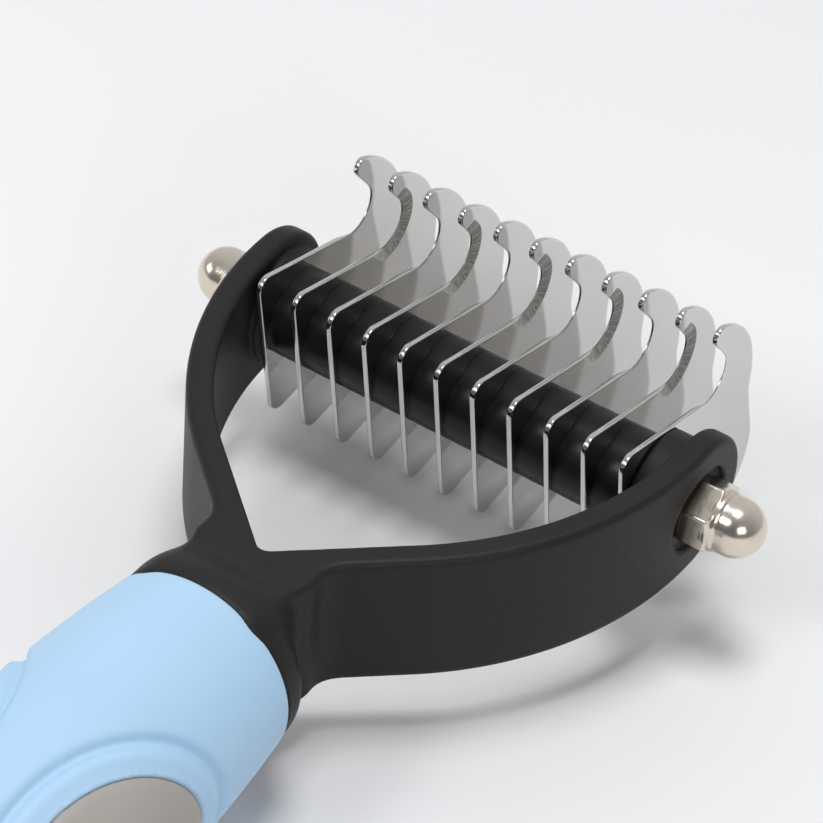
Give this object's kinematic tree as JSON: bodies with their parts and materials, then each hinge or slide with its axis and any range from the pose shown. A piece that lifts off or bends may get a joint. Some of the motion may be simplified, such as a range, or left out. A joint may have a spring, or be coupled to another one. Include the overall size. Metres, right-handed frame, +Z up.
{
  "type": "dematting rake",
  "caption": "Double-sided pet dematting and deshedding rake with a clamped row of hooked steel blades in a forked yoke and a soft round grip.",
  "frame": {"origin": "middle of the bounding box on the table that the tool lies on", "axes": "+Y runs from the end of the grip to the blades, +X along the clamp rod, +Z up from the table"},
  "size_m": [0.1022, 0.201, 0.0452],
  "materials": {
    "black_plastic": "fine matte moulded black plastic",
    "blue_rubber": "soft-touch light blue rubber with a satin bloom",
    "grey_rubber": "soft warm grey rubber",
    "blade_steel": "satin stainless sheet with polished edges and ground bevels",
    "spacer_plastic": "smooth glossy black plastic",
    "rod_steel": "plain zinc-grey steel rod",
    "nickel_nut": "polished warm nickel plating"
  },
  "bodies": {
    "root": {"yoke_frame": "black_plastic", "grip_sleeve": "blue_rubber", "thumb_pad_left": "grey_rubber", "thumb_pad_right": "grey_rubber", "clamp_rod": "rod_steel", "cap_nut_left": "nickel_nut", "cap_nut_right": "nickel_nut", "blade_01": "blade_steel", "blade_02": "blade_steel", "blade_03": "blade_steel", "blade_04": "blade_steel", "blade_05": "blade_steel", "blade_06": "blade_steel", "blade_07": "blade_steel", "blade_08": "blade_steel", "blade_09": "blade_steel", "blade_10": "blade_steel", "blade_11": "blade_steel", "spacer_01": "spacer_plastic", "spacer_02": "spacer_plastic", "spacer_03": "spacer_plastic", "spacer_04": "spacer_plastic", "spacer_05": "spacer_plastic", "spacer_06": "spacer_plastic", "spacer_07": "spacer_plastic", "spacer_08": "spacer_plastic", "spacer_09": "spacer_plastic", "spacer_10": "spacer_plastic"}
  },
  "joints": []
}
